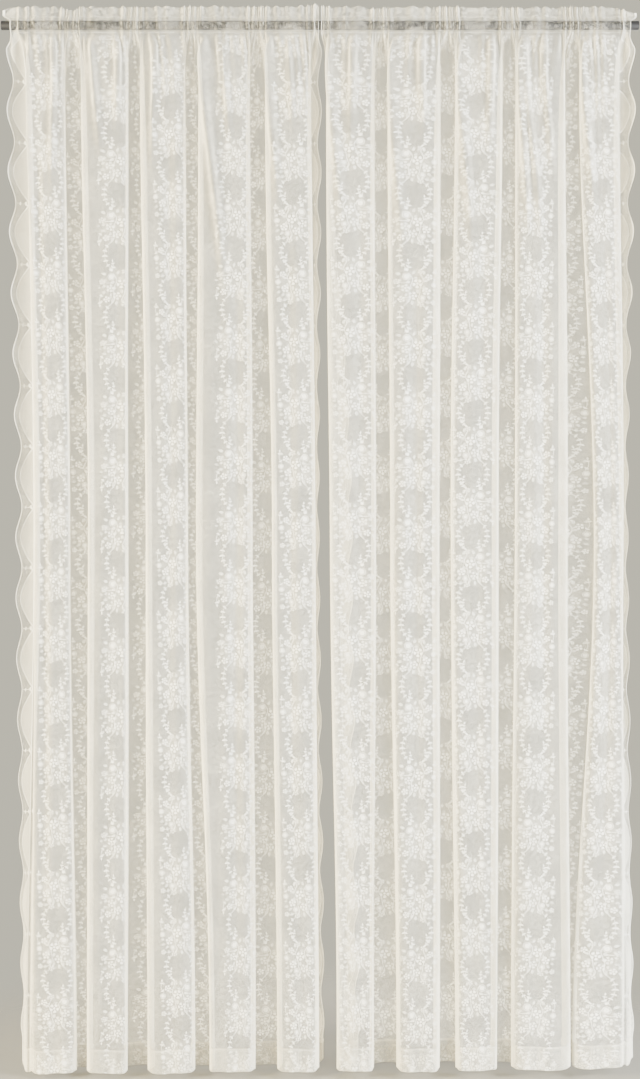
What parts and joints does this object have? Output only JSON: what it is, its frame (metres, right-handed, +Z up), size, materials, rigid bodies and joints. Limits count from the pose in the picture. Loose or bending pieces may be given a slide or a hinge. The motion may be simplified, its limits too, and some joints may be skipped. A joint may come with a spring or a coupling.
{
  "type": "pair of lace curtains on a curtain rod",
  "caption": "Floor-length sheer lace net curtains with scalloped sides, gathered by rod pockets on one plain round rod.",
  "frame": {"origin": "on the curtain rod's axis, halfway along it", "axes": "+X along the rod to the right as seen from the room, -Y into the room, +Z up"},
  "size_m": [1.495, 0.1071, 2.4993],
  "materials": {
    "lace": "sheer off-white net with a denser woven floral pattern, matt",
    "rod": "dark grey satin paint"
  },
  "bodies": {
    "root": {"left_panel": "lace", "right_panel": "lace", "rod": "rod"}
  },
  "joints": []
}
